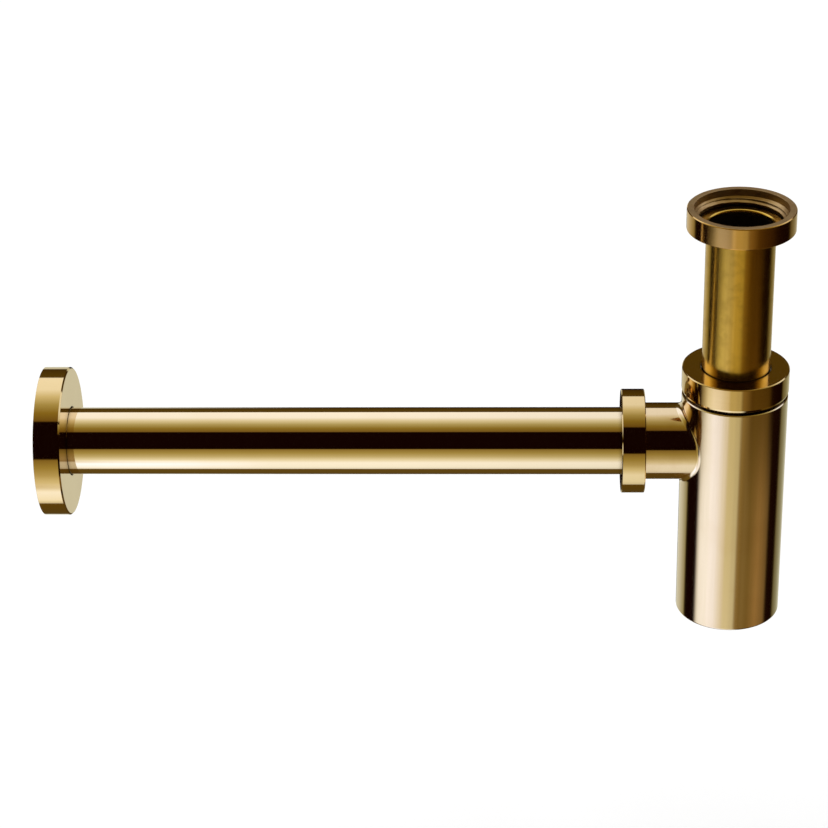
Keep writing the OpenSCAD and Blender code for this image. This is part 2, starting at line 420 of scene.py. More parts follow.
class Graph:
    """Adds nodes to a material's or world's tree, each by its own short call."""

    def __init__(self, tree: bpy.types.NodeTree) -> None:
        """Takes an emptied node tree."""
        self.tree = tree
        self.tree.nodes.clear()

    def node(self, kind: str, inputs: Optional[dict] = None, **settings: object) -> bpy.types.Node:
        """Adds one node.

        Args:
            kind: the node's type.
            inputs: its inputs by name or number, each a value or another node's output.
            settings: the node's own properties.

        Returns:
            The node.
        """
        made = self.tree.nodes.new(kind)
        for key, value in settings.items():
            setattr(made, key, value)
        for key, value in (inputs or {}).items():
            if isinstance(value, Socket):
                self.tree.links.new(value, made.inputs[key])
            else:
                made.inputs[key].default_value = value
        return made

    def place(self, stretch: Sequence[float] = (1.0, 1.0, 1.0)) -> Socket:
        """The point on the object, in metres, with each direction scaled."""
        where = self.node("ShaderNodeTexCoord").outputs["Object"]
        scaled = self.node("ShaderNodeVectorMath", {0: where, 1: tuple(stretch)}, operation="MULTIPLY")
        return scaled.outputs["Vector"]

    def noise(self, vector: Socket, scale: float, detail: float) -> Socket:
        """A cloudy value from 0 to 1."""
        inputs = {"Vector": vector, "Scale": scale, "Detail": detail}
        return self.node("ShaderNodeTexNoise", inputs, noise_dimensions="3D").outputs["Fac"]

    def maths(self, operation: str, *values: object) -> Socket:
        """The result of one step of arithmetic."""
        return self.node("ShaderNodeMath", dict(enumerate(values)), operation=operation).outputs[0]

    def ranged(self, value: Socket, start: Pair, end: Pair, smooth: bool = False) -> Socket:
        """Maps a value from one range to another and holds it there.

        Args:
            value: the value.
            start: the range that it comes in.
            end: the range that it goes to.
            smooth: whether it eases in and out.

        Returns:
            The mapped value.
        """
        inputs = {"Value": value, "From Min": start[0], "From Max": start[1]}
        inputs |= {"To Min": end[0], "To Max": end[1]}
        kind = "SMOOTHSTEP" if smooth else "LINEAR"
        return self.node("ShaderNodeMapRange", inputs, interpolation_type=kind, clamp=True).outputs["Result"]

    def mixed(self, share: object, first: object, second: object) -> Socket:
        """Blends two colours."""
        inputs = {"Factor": share, 6: first, 7: second}
        return self.node("ShaderNodeMix", inputs, data_type="RGBA").outputs[2]

    def bump(self, height: Socket, depth: float) -> Socket:
        """The normal of a surface that is raised by a value from 0 to 1, times a depth in metres."""
        inputs = {"Height": height, "Strength": 1.0, "Distance": depth}
        return self.node("ShaderNodeBump", inputs).outputs["Normal"]


class Grain(Enum):
    """Which way a finish's fine lines run, as how fast they change along X, Y and Z."""

    ROUND_BOTTLE = (0.02, 0.02, 1.0)
    ALONG_BOTTLE = (1.0, 1.0, 0.02)
    ROUND_OUTLET = (1.0, 0.02, 0.02)


def opaque(colour: Colour, share: float = 1.0) -> Rgba:
    """A colour, dimmed to a share of itself, with its alpha."""
    return (*(part * share for part in colour), 1.0)


@dataclass(frozen=True)
class Finish:
    """What every finish has.

    Args:
        name: the material's name.
        colour: its own colour, seen face on.
        shade: the colour of its clouded patches, and in brass also, dimmed, of the shade painted into its crevices.
        roughness: the smoothest and roughest value.
    """

    name: str
    colour: Colour
    shade: Colour
    roughness: Pair

    def inputs(self, graph: Graph) -> dict[str, object]:
        """The shader's inputs, which each kind of finish works out with its own nodes."""
        raise NotImplementedError

    def material(self) -> bpy.types.Material:
        """Makes the material.

        Returns:
            The material, which is made once and then shared.
        """
        made = bpy.data.materials.get(self.name)
        if made is None:
            made = bpy.data.materials.new(self.name)
            made.use_nodes = True
            graph = Graph(made.node_tree)
            shader = graph.node("ShaderNodeBsdfPrincipled", self.inputs(graph))
            graph.node("ShaderNodeOutputMaterial", {"Surface": shader.outputs["BSDF"]})
        return made


@dataclass(frozen=True)
class Brass(Finish):
    """Gold-toned brass: its polish, its fine lines and the cloudiness of its surface.

    Args:
        clouded: how much of the shade shows, from 0 to 1.
        cloud_size: size of the patches, in metres.
        grain: which way the fine lines run.
        line_gap: distance between the fine lines, in metres.
        line_depth: how deep they are, in metres.
        painted_shade_reach: how far from a corner the shade painted into its crevices reaches, in metres.
        painted_shade_share: how dark that painted shade is, as a share of the shade colour.
    """

    clouded: float
    cloud_size: float
    grain: Grain
    line_gap: float
    line_depth: float
    painted_shade_reach: float = 0.003
    painted_shade_share: float = 0.25

    def inputs(self, graph: Graph) -> dict[str, object]:
        """Adds the brass's nodes.

        Args:
            graph: the material's graph.

        Returns:
            The shader's inputs.
        """
        clouds = graph.noise(graph.place(), 1 / self.cloud_size, 5.0)
        patches = graph.ranged(clouds, (0.4, 0.68), (0.0, self.clouded), smooth=True)
        lines = graph.noise(graph.place(self.grain.value), 1 / self.line_gap, 3.0)
        streaks = graph.ranged(lines, (0.35, 0.75), (0.0, self.clouded * 0.5))
        worn = graph.maths("MAXIMUM", patches, streaks)
        tone = graph.mixed(worn, opaque(self.colour), opaque(self.shade))
        # Painted shade: ambient occlusion darkens the colour towards the dimmed shade in crevices and corners.
        closed = graph.node("ShaderNodeAmbientOcclusion", {"Distance": self.painted_shade_reach}, samples=6)
        painted_crevice_shade = graph.ranged(closed.outputs["AO"], (0.25, 0.85), (0.85, 0.0), smooth=True)
        height = graph.maths("MULTIPLY", lines, self.line_depth)
        return {
            "Base Color": graph.mixed(painted_crevice_shade, tone, opaque(self.shade, self.painted_shade_share)),
            "Metallic": 1.0,
            "Roughness": graph.ranged(graph.maths("ADD", clouds, lines), (0.7, 1.3), self.roughness),
            "Normal": graph.bump(height, 1.0),
        }


@dataclass(frozen=True)
class Moulded(Finish):
    """A moulded plain material: rubber or nylon.

    Args:
        sheen: how much fine dust or softness catches the light.
        grit: size of its surface grain, in metres.
        grit_depth: depth of the grain, in metres.
    """

    sheen: float
    grit: float
    grit_depth: float

    def inputs(self, graph: Graph) -> dict[str, object]:
        """Adds the moulded material's nodes.

        Args:
            graph: the material's graph.

        Returns:
            The shader's inputs.
        """
        clouds = graph.noise(graph.place(), 0.1 / self.grit, 4.0)
        grain = graph.noise(graph.place(), 1 / self.grit, 2.0)
        return {
            "Base Color": graph.mixed(clouds, opaque(self.colour), opaque(self.shade)),
            "Roughness": graph.ranged(grain, (0.3, 0.7), self.roughness),
            "Sheen Weight": self.sheen,
            "Normal": graph.bump(grain, self.grit_depth),
        }


PIPE_BRASS = Brass(
    "polished_brass_pipe", (0.95, 0.78, 0.51), (0.80, 0.58, 0.30), (0.03, 0.06),
    clouded=0.10, cloud_size=0.030, grain=Grain.ROUND_OUTLET, line_gap=0.0004, line_depth=1.5e-8,
)
OUTLET_BRASS = Brass(
    "polished_brass_outlet", (0.84, 0.63, 0.30), (0.74, 0.50, 0.22), (0.04, 0.07),
    clouded=0.15, cloud_size=0.025, grain=Grain.ROUND_OUTLET, line_gap=0.0004, line_depth=2e-8,
)
COLLAR_BRASS = Brass(
    "polished_brass_collar", (0.85, 0.63, 0.30), (0.68, 0.42, 0.14), (0.06, 0.10),
    clouded=0.2, cloud_size=0.022, grain=Grain.ROUND_BOTTLE, line_gap=0.0004, line_depth=3e-8,
)
INLET_BRASS = Brass(
    "polished_brass_inlet", (0.80, 0.50, 0.17), (0.62, 0.34, 0.09), (0.10, 0.16),
    clouded=0.25, cloud_size=0.016, grain=Grain.ROUND_BOTTLE, line_gap=0.0004, line_depth=1e-7,
)
TURNED_BRASS = Brass(
    "turned_brass", (0.60, 0.41, 0.19), (0.38, 0.21, 0.07), (0.34, 0.46),
    clouded=0.5, cloud_size=0.006, grain=Grain.ROUND_BOTTLE, line_gap=0.0003, line_depth=3e-6,
)
SATIN_BRASS = Brass(
    "satin_brass", (0.97, 0.81, 0.57), (0.80, 0.58, 0.32), (0.09, 0.14),
    clouded=0.22, cloud_size=0.035, grain=Grain.ALONG_BOTTLE, line_gap=0.0006, line_depth=1.5e-6,
)
BRANCH_BRASS = Brass(
    "polished_brass_branch", (0.86, 0.66, 0.38), (0.66, 0.44, 0.20), (0.05, 0.08),
    clouded=0.25, cloud_size=0.010, grain=Grain.ROUND_OUTLET, line_gap=0.0004, line_depth=5e-8,
)
DRAWN_BRASS = Brass(
    "drawn_brass", (0.76, 0.48, 0.085), (0.44, 0.27, 0.04), (0.16, 0.26),
    clouded=0.28, cloud_size=0.005, grain=Grain.ALONG_BOTTLE, line_gap=0.0010, line_depth=2e-6,
)
# Painted shade: a near-black brass for the deep part of the inlet tube's bore, where shade falls.
PAINTED_SHADE_BORE = Brass(
    "painted_shade_bore", (0.10, 0.07, 0.04), (0.03, 0.03, 0.03), (0.4, 0.6),
    clouded=0.7, cloud_size=0.010, grain=Grain.ALONG_BOTTLE, line_gap=0.0010, line_depth=3e-6,
)
RUBBER = Moulded(
    "black_rubber", (0.025, 0.024, 0.023), (0.05, 0.048, 0.045), (0.55, 0.75),
    sheen=0.2, grit=0.0003, grit_depth=1e-5,
)
NYLON = Moulded(
    "white_nylon", (0.80, 0.77, 0.68), (0.72, 0.68, 0.58), (0.35, 0.5),
    sheen=0.0, grit=0.0004, grit_depth=4e-6,
)


def dress(skin: Skin, node: str, body: str, slot: Slot, *finishes: Finish) -> bpy.types.Object:
    """Turns a finished skin into the piece that is shown for a node of the frame.

    Args:
        skin: the piece's faces.
        node: the node that it stands for.
        body: the body that it moves with.
        slot: the record's slot that the piece belongs to; not used.
        finishes: its finish, and a second one for the inside where it has one.

    Returns:
        The piece.
    """
    piece = skin.build(f"{node}_finished")
    for finish in finishes:
        piece.data.materials.append(finish.material())
    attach(piece, body)
    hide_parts(node)
    names = " and ".join(finish.name for finish in finishes)
    LOG.info("%s: %d faces in %s", piece.name, len(piece.data.polygons), names)
    return piece


def turned(
    axle: Axle, node: str, slot: Slot, outline: Sequence[Corner], *finishes: Finish
) -> bpy.types.Object:
    """Makes a plain turned piece, which is a body by itself.

    Args:
        axle: the line that it turns about.
        node: the node that it stands for.
        slot: the record's slot that its finish comes from.
        outline: the corners of its closed outline.
        finishes: its one or two finishes.

    Returns:
        The piece.
    """
    skin = Skin()
    skin.turn(axle, outline, closed=True)
    return dress(skin, node, node, slot, *finishes)


def chamfered(inner: float, outer: float, span: Span, chamfer: float) -> list[Corner]:
    """The outline of a plain ring or tube.

    Args:
        inner: its inner radius.
        outer: its outer radius.
        span: where its two ends are.
        chamfer: the chamfer on each of its edges.

    Returns:
        The corners.
    """
    low, high = span.low, span.high
    return [
        Corner(inner + chamfer, low),
        Corner(outer - chamfer, low),
        Corner(outer, low + chamfer),
        Corner(outer, high - chamfer),
        Corner(outer - chamfer, high),
        Corner(inner + chamfer, high),
        Corner(inner, high - chamfer),
        Corner(inner, low + chamfer),
    ]


@dataclass(frozen=True)
class ThreadSize:
    """A thread that a nut and a neck share.

    Args:
        pitch: height gained in one turn.
        major_radius: radius of the nut's bore, at the root of its thread.
        core_radius: radius of the neck, at the root of its thread.
        play: how far each crest stays clear of the other's root.
    """

    pitch: float
    major_radius: float
    core_radius: float
    play: float

    def inside(self, low: float, high: float) -> Thread:
        """The ridge in a nut's bore."""
        return Thread(self.pitch, self.core_radius + self.play - self.major_radius, low, high, phase=0.5)

    def outside(self, low: float, high: float) -> Thread:
        """The ridge on a neck."""
        return Thread(self.pitch, self.major_radius - self.play - self.core_radius, low, high)


PIPE_THREAD = ThreadSize(pitch=2.309, major_radius=20.955, core_radius=19.475, play=0.055)
NECK_THREAD = ThreadSize(pitch=1.5, major_radius=23.2, core_radius=22.3, play=0.1)


@dataclass(frozen=True)
class CompressionNut:
    """A round nut: a face with a hole, and a skirt with a threaded bore.

    Args:
        node: the node that it stands for, which is also its body.
        thread: its thread.
        hole: radius of the hole in its face.
        face: thickness of the face.
        rim_bevel: bevel on the skirt's edge, inward and along the axle.
        top_bevel: bevel on the face's edge.
        lead: chamfer at the bore's mouth.
        soft: round that polishing leaves on edges.
    """

    node: str
    thread: ThreadSize
    hole: float = 16.5
    face: float = 2.2
    rim_bevel: Pair = (0.4, 0.4)
    top_bevel: float = 0.4
    lead: float = 0.4
    soft: float = 0.12

    def build(self, axle: Axle, finish: Finish) -> bpy.types.Object:
        """Turns the nut and cuts its thread.

        Args:
            axle: the line that it turns about.
            finish: its finish.

        Returns:
            The piece.
        """
        span = Span.of(self.node, axle)
        outer, low, high, bore = span.radius, span.low, span.high, self.thread.major_radius
        under = high - self.face
        outline = [
            Corner(bore, low + self.lead),
            Corner(bore + self.lead, low, self.soft),
            Corner(outer - self.rim_bevel[0], low, self.soft),
            Corner(outer, low + self.rim_bevel[1], self.soft),
            Corner(outer, high - self.top_bevel, self.soft),
            Corner(outer - self.top_bevel, high, self.soft),
            Corner(self.hole, high, self.soft),
            Corner(self.hole, under),
            Corner(bore, under),
        ]
        skin = Skin()
        skin.turn(axle, outline)
        skin.wind(axle, bore, self.thread.inside(low + self.lead, under))
        return dress(skin, self.node, self.node, Slot.POLISHED, finish)


@dataclass(frozen=True)
class ConeSeal:
    """A slip ring and a cone seal, which a compression nut squeezes on its tube.

    Args:
        ring_node: the slip ring's node.
        seal_node: the seal's node.
        tube: radius of the tube.
        ring_play: play of the slip ring round the tube.
        ring_chamfer: chamfer on the slip ring's edges.
        seal_play: play of the seal round the tube.
        tip_wall: wall of the seal at its thin end, outside the tube.
        tip_round: round on that end.
        rim: height of the seal's rim above its seat.
        rim_round: round on the rim's edges.
    """

    ring_node: str
    seal_node: str
    tube: float = 16.0
    ring_play: float = 0.25
    ring_chamfer: float = 0.2
    seal_play: float = 0.05
    tip_wall: float = 0.9
    tip_round: float = 0.2
    rim: float = 1.6
    rim_round: float = 0.3

    def build_ring(self, axle: Axle) -> bpy.types.Object:
        """Turns the nylon slip ring."""
        span = Span.of(self.ring_node, axle)
        outline = chamfered(self.tube + self.ring_play, span.radius, span, self.ring_chamfer)
        return turned(axle, self.ring_node, Slot.NYLON, outline, NYLON)

    def build_seal(self, axle: Axle) -> bpy.types.Object:
        """Turns the rubber cone seal."""
        span = Span.of(self.seal_node, axle)
        inner = self.tube + self.seal_play
        outline = [
            Corner(inner, span.low),
            Corner(self.tube + self.tip_wall, span.low, self.tip_round),
            Corner(span.radius, span.high - self.rim, self.rim_round),
            Corner(span.radius, span.high, self.rim_round),
            Corner(inner, span.high),
        ]
        return turned(axle, self.seal_node, Slot.RUBBER, outline, RUBBER)


@dataclass(frozen=True)
class Inlet:
    """The inlet nut and the dip tube with its turned-out lip.

    Args:
        relief: radius of the reliefs at both ends of the nut's thread.
        seat_drop: depth of the nut's floor below the sealing face.
        hole: radius of the hole in the nut's floor.
        thread_end: height of the thread's upper end.
        bevel: bevel on the nut's outer edges.
        soft: round that polishing leaves on edges.
        tube: outer radius of the tube.
        bore: inner radius of the tube.
        lip: thickness of the lip.
        tube_chamfer: chamfer at the tube's cut end.
        painted_bore_shade_top: height below which the tube's bore is painted dark as shade.
        lip_fillet: fillet under the lip.
    """

    relief: float = 21.705
    seat_drop: float = 1.25
    hole: float = 16.5
    thread_end: float = 3.4
    bevel: float = 0.4
    soft: float = 0.15
    tube: float = 16.0
    bore: float = 15.0
    lip: float = 1.2
    tube_chamfer: float = 0.2
    painted_bore_shade_top: float = -2.0
    lip_fillet: float = 0.2

    def build_nut(self, axle: Axle, thread: ThreadSize) -> bpy.types.Object:
        """Turns the open union nut with its thread between two reliefs.

        Args:
            axle: the line that it turns about.
            thread: its thread.

        Returns:
            The piece.
        """
        span = Span.of("inlet_nut", axle)
        outer, low, high, wall = span.radius, span.low, span.high, thread.major_radius
        outline = [
            Corner(wall, 0.0, coat=Coat.OTHER),
            Corner(self.relief, 0.0, coat=Coat.OTHER),
            Corner(self.relief, -self.seat_drop, coat=Coat.OTHER),
            Corner(self.hole, -self.seat_drop, self.soft, Coat.OTHER),
            Corner(self.hole, low, self.soft),
            Corner(outer - self.bevel, low, self.soft),
            Corner(outer, low + self.bevel, self.soft),
            Corner(outer, high - self.bevel, self.soft),
            Corner(outer - self.bevel, high, self.soft, Coat.OTHER),
            Corner(self.relief, high, self.soft, Coat.OTHER),
            Corner(self.relief, self.thread_end + self.relief - wall, coat=Coat.OTHER),
            Corner(wall, self.thread_end, coat=Coat.OTHER),
        ]
        skin = Skin()
        skin.turn(axle, outline)
        skin.wind(axle, wall, thread.inside(0.0, self.thread_end), coat=Coat.OTHER)
        return dress(skin, "inlet_nut", "inlet_nut", Slot.POLISHED, INLET_BRASS, TURNED_BRASS)

    def build_tube(self, axle: Axle) -> bpy.types.Object:
        """Turns the dip tube and its lip, which are one piece."""
        span, chamfer = Span.of("inlet_tube", axle), self.tube_chamfer
        outline = [
            Corner(self.bore, span.low + chamfer),
            Corner(self.bore + chamfer, span.low),
            Corner(self.tube - chamfer, span.low),
            Corner(self.tube, span.low + chamfer),
            Corner(self.tube, -self.lip, self.lip_fillet),
            Corner(span.radius, -self.lip, self.soft),
            Corner(span.radius, 0.0, self.soft),
            Corner(self.bore, 0.0, self.tube - self.bore),
            # below this corner the bore takes the painted shade
            Corner(self.bore, self.painted_bore_shade_top, coat=Coat.OTHER),
        ]
        return turned(axle, "inlet_tube", Slot.SATIN, outline, DRAWN_BRASS, PAINTED_SHADE_BORE)


@dataclass(frozen=True)
class Window:
    """The patch of a bottle's wall that holds the branch's hole, unrolled to a rectangle.

    Args:
        centre_angle: the angle of its middle round the bottle.
        half_angle: half its width.
        centre_height: the height of its middle.
        half_height: half its height.
        cells: how many cells each side has.
    """

    centre_angle: float
    half_angle: float
    centre_height: float
    half_height: float
    cells: int

    def columns(self) -> list[float]:
        """The angles of its columns."""
        first, step = self.centre_angle - self.half_angle, 2 * self.half_angle / self.cells
        return [first + step * i for i in range(self.cells + 1)]

    def rows(self) -> list[float]:
        """The heights of its rows."""
        first, step = self.centre_height - self.half_height, 2 * self.half_height / self.cells
        return [first + step * i for i in range(self.cells + 1)]

    def edge(self) -> list[Pair]:
        """The angle and height of the cell corners along its edge, once round."""
        columns, rows, n = self.columns(), self.rows(), self.cells
        lower = [(columns[i], rows[0]) for i in range(n)]
        right = [(columns[n], rows[i]) for i in range(n)]
        upper = [(columns[n - i], rows[n]) for i in range(n)]
        left = [(columns[0], rows[n - i]) for i in range(n)]
        return lower + right + upper + left


@dataclass(frozen=True)
class Bottle:
    """The bottle with its neck, its side branch and the fillet between them: one piece.

    Args:
        wall: wall of the bottle.
        floor: thickness of the bottle's floor.
        foot_round: round on the bottom edge.
        shoulder: height of the shoulder above the outlet axis.
        shoulder_thick: thickness of the ring that closes the bottle at its shoulder.
        edge: chamfer on turned edges.
        soft: round that polishing leaves on the shoulder's edge.
        branch: radius of the branch's plain part.
        branch_length: length of the branch beyond the bottle's side.
        thread_length: length of the branch's threaded end.
        fillet: radius of the fillet between branch and bottle.
        fillet_steps: cells along the fillet's arc.
        running_bore: radius of the bores that the tubes run in.
        seat_mouth: radius of the seals' seats at their mouths.
        seat_tip: radius of the seats at their inner ends.
        seat_depth: depth of the seats' cones.
        seat_relief: length of the plain foot of each seat.
        passage: radius of the passage from the bottle to the branch.
        stop_width: width of the shoulder that stops the pipe.
        half_window: half width of the windows round the branch, as an angle.
        outer_half_height: half height of the window in the outer wall.
        inner_half_height: half height of the window in the inner wall.
        patch_rows: rows of cells between a hole and its window's edge.
    """

    wall: float = 1.5
    floor: float = 2.0
    foot_round: float = 1.0
    shoulder: float = 26.0
    shoulder_thick: float = 4.0
    edge: float = 0.4
    soft: float = 0.15
    branch: float = 18.2
    branch_length: float = 23.2
    thread_length: float = 5.1
    fillet: float = 2.6
    fillet_steps: int = 12
    running_bore: float = 16.25
    seat_mouth: float = 18.55
    seat_tip: float = 16.95
    seat_depth: float = 5.0
    seat_relief: float = 0.2
    passage: float = 14.75
    stop_width: float = 0.7
    half_window: float = math.radians(60)
    outer_half_height: float = 24.5
    inner_half_height: float = 20.0
    patch_rows: int = 4

    def seat(self, mouth: float, end: float) -> list[Corner]:
        """The bore of a neck, from the seal's seat at its mouth down to an inner end."""
        return [
            Corner(self.seat_mouth, mouth),
            Corner(self.seat_tip, mouth - self.seat_depth),
            Corner(self.seat_tip, mouth - self.seat_depth - self.seat_relief),
            Corner(self.running_bore, mouth - self.seat_depth - self.seat_relief),
            Corner(self.running_bore, end),
        ]

    def fillet_spot(self, radius: float, angle: float, share: float) -> Spot:
        """Finds a place on the fillet, as the skin of a ball that rolls between branch and bottle.

        Args:
            radius: radius of the bottle.
            angle: the angle round the branch, from its top.
            share: 0 at the branch and 1 at the bottle.

        Returns:
            The place in millimetres from where the two axles cross, and the normal.
        """
        reach = self.branch + self.fillet
        side = reach * math.sin(angle)
        out = math.sqrt((radius + self.fillet) ** 2 - side**2)
        middle = Vector((-out, side, reach * math.cos(angle)))
        to_branch = Vector((0, -math.sin(angle), -math.cos(angle)))
        to_bottle = -Vector((middle.x, middle.y, 0)) / (radius + self.fillet)
        turn = to_branch.angle(to_bottle)
        way = (to_branch * math.sin((1 - share) * turn) + to_bottle * math.sin(share * turn)) / math.sin(turn)
        return middle + way * self.fillet, -way

    def build_wall(
        self, skin: Skin, axle: Axle, radius: float, window: Window, hole: Sequence[Pair], outward: int
    ) -> None:
        """Builds the wall at the branch's height: plain for most of its round, then filled in round the hole.

        Args:
            skin: the faces to add to.
            axle: the bottle's axle.
            radius: the wall's radius.
            window: the rectangle round the hole.
            hole: the hole's corners as angles and heights, one for each corner of the window's edge.
            outward: 1 for the outer wall and -1 for the inner one.
        """
        half = round(window.half_angle / TAU * COLUMNS)
        middle = round(window.centre_angle / TAU * COLUMNS)
        plain = CIRCLE[middle + half :] + [TAU + angle for angle in CIRCLE[1 : middle - half + 1]]
        skin.turn(axle, [Corner(radius, height) for height in window.rows()[::outward]], angles=plain)
        rows = []
        for i in range(self.patch_rows + 1):
            share = i / self.patch_rows
            row = [
                axle.spot(radius, h[0] + (e[0] - h[0]) * share, h[1] + (e[1] - h[1]) * share, outward)
                for h, e in zip(hole, window.edge())
            ]
            rows.append(row + row[:1])
        skin.web(rows)

    def build_branch(
        self, skin: Skin, outlet: Axle, radius: float, inner: float, closed: Sequence[float], thread: ThreadSize
    ) -> None:
        """Adds the fillet, the branch and its bore.

        Args:
            skin: the faces to add to.
            outlet: the outlet's axle.
            radius: outer radius of the bottle.
            inner: inner radius of the bottle.
            closed: the angles of the mesh's columns round the branch, closed on the first.
            thread: the branch's thread.
        """
        rise = Vector((0, 0, outlet.centre.z))
        rows = []
        for i in range(self.fillet_steps + 1):
            spots = [self.fillet_spot(radius, angle, i / self.fillet_steps) for angle in closed]
            rows.append([(spot + rise, normal) for spot, normal in spots])
        skin.web(rows)
        end, core = radius + self.branch_length, thread.core_radius
        start, stop = end - self.thread_length, radius + self.stop_width
        low, high = start + self.edge, end - self.edge
        skin.strip(rows[0], [outlet.spot(self.branch, angle, start, 1) for angle in closed], Coat.OTHER)
        rim = [
            Corner(self.branch, start, coat=Coat.OTHER),
            Corner(core - self.edge, start, coat=Coat.OTHER),
            Corner(core, low),
        ]
        skin.turn(outlet, rim, angles=closed)
        skin.wind(outlet, core, thread.outside(low, high), closed, Coat.OTHER)
        bore = [
            Corner(core, high),
            Corner(core - self.edge, end),
            *self.seat(end, stop),
            Corner(self.passage, stop),
        ]
        skin.turn(outlet, bore, angles=closed)
        depths = [math.sqrt(inner**2 - (self.passage * math.sin(angle)) ** 2) for angle in closed]
        skin.strip(
            [outlet.spot(self.passage, angle, stop, -1) for angle in closed],
            [outlet.spot(self.passage, angle, depth, -1) for angle, depth in zip(closed, depths)],
        )

    def build(self, axle: Axle, outlet: Axle, neck: ThreadSize, pipe: ThreadSize) -> bpy.types.Object:
        """Builds the whole piece.

        Args:
            axle: the bottle's axle.
            outlet: the outlet's axle.
            neck: the neck's thread.
            pipe: the branch's thread.

        Returns:
            The piece.
        """
        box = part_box("bottle_body")
        low, top, radius, mid = box[0].z / MM, box[1].z / MM, box[1].x / MM, outlet.centre.z
        inner, core, shoulder = radius - self.wall, neck.core_radius, mid + self.shoulder
        ceiling, thread_high = shoulder - self.shoulder_thick, top - self.edge
        outer_window, inner_window = (
            Window(TAU / 2, self.half_window, mid, half_height, COLUMNS // 3)
            for half_height in (self.outer_half_height, self.inner_half_height)
        )
        foot = [
            Corner(0, low),
            Corner(radius, low, self.foot_round),
            Corner(radius, outer_window.rows()[0]),
        ]
        head = [
            Corner(radius, outer_window.rows()[-1]),
            Corner(radius, shoulder - self.edge, self.soft),
            Corner(radius - self.edge, shoulder, self.soft),
            Corner(core, shoulder),
        ]
        mouth = [
            Corner(core, thread_high),
            Corner(core - self.edge, top),
            *self.seat(top, ceiling),
            Corner(inner, ceiling),
            Corner(inner, inner_window.rows()[-1]),
        ]
        well = [
            Corner(inner, inner_window.rows()[0]),
            Corner(inner, low + self.floor),
            Corner(0, low + self.floor),
        ]
        skin = Skin()
        for outline in (foot, head, mouth, well):
            skin.turn(axle, outline)
        skin.wind(axle, core, neck.outside(shoulder, thread_high))

        angles = [
            math.atan2(-(angle - outer_window.centre_angle) * radius, height - mid)
            for angle, height in outer_window.edge()
        ]
        self.build_branch(skin, outlet, radius, inner, [*angles, angles[0]], pipe)
        outer_hole, inner_hole = [], []
        for angle in angles:
            spot, _ = self.fillet_spot(radius, angle, 1.0)
            outer_hole.append((TAU / 2 - math.asin(spot.y / radius), spot.z + mid))
            side = self.passage * math.sin(angle)
            inner_hole.append((TAU / 2 - math.asin(side / inner), self.passage * math.cos(angle) + mid))
        self.build_wall(skin, axle, radius, outer_window, outer_hole, 1)
        self.build_wall(skin, axle, inner, inner_window, inner_hole, -1)
        return dress(skin, "bottle_body", "bottle", Slot.SATIN, SATIN_BRASS, BRANCH_BRASS)


@dataclass(frozen=True)
class Outlet:
    """The outlet pipe, the wall flange and the ring that grips the pipe inside its hub.

    Args:
        pipe_wall: wall of the pipe.
        pipe_chamfer: chamfer at the pipe's cut ends.
        hole: radius of the flange's hole.
        face: thickness of the flange's face.
        rim: thickness of its rim.
        bevel: bevel on its front edge.
        small: chamfer round its hole.
        hub: radius of its hub.
        hub_length: length of the hub behind the face.
        inner_fillet: fillet between the face and what stands on it.
        groove: radius of the ring's groove.
        groove_half: half the groove's width.
        soft: round that polishing leaves on edges.
    """

    pipe_wall: float = 1.0
    pipe_chamfer: float = 0.2
    hole: float = 16.5
    face: float = 2.0
    rim: float = 1.6
    bevel: float = 0.7
    small: float = 0.2
    hub: float = 20.5
    hub_length: float = 6.5
    inner_fillet: float = 0.5
    groove: float = 18.4
    groove_half: float = 1.2
    soft: float = 0.12

    def build_pipe(self, axle: Axle) -> bpy.types.Object:
        """Turns the straight pipe."""
        span = Span.of("outlet_pipe", axle)
        outline = chamfered(span.radius - self.pipe_wall, span.radius, span, self.pipe_chamfer)
        return turned(axle, "outlet_pipe", Slot.POLISHED, outline, PIPE_BRASS)

    def build_flange(self, axle: Axle) -> bpy.types.Object:
        """Turns the flange: a shallow cup with a hub round the pipe."""
        span = Span.of("wall_flange", axle)
        outer, front, back = span.radius, span.low, span.high
        behind = front + self.face
        hub_end, middle = behind + self.hub_length, behind + self.hub_length / 2
        outline = [
            Corner(self.hole + self.small, front),
            Corner(outer - self.bevel, front, self.soft),
            Corner(outer, front + self.bevel, self.soft),
            Corner(outer, back, self.soft),
            Corner(outer - self.rim, back, self.soft),
            Corner(outer - self.rim, behind, self.inner_fillet),
            Corner(self.hub, behind, self.inner_fillet),
            Corner(self.hub, hub_end, self.soft),
            Corner(self.hole, hub_end),
            Corner(self.hole, middle + self.groove_half),
            Corner(self.groove, middle + self.groove_half),
            Corner(self.groove, middle - self.groove_half),
            Corner(self.hole, middle - self.groove_half),
            Corner(self.hole, front + self.small),
        ]
        return turned(axle, "wall_flange", Slot.POLISHED, outline, OUTLET_BRASS)

    def build_ring(self, axle: Axle) -> bpy.types.Object:
        """Turns the round rubber ring."""
        span = Span.of("flange_o_ring", axle)
        cord, outer = span.high - span.low, span.radius
        corners = ((outer - cord, span.low), (outer, span.low), (outer, span.high), (outer - cord, span.high))
        outline = [Corner(radius, height, cord / 2) for radius, height in corners]
        return turned(axle, "flange_o_ring", Slot.RUBBER, outline, RUBBER)


class Round(Enum):
    """The line that a band of the studio's light runs along: across the pipe or round the bottle."""

    PIPE = ((0, -1, 0), (0, 0, 1), (1, 0, 0))
    BOTTLE = ((0, -1, 0), (1, 0, 0), (0, 0, 1))


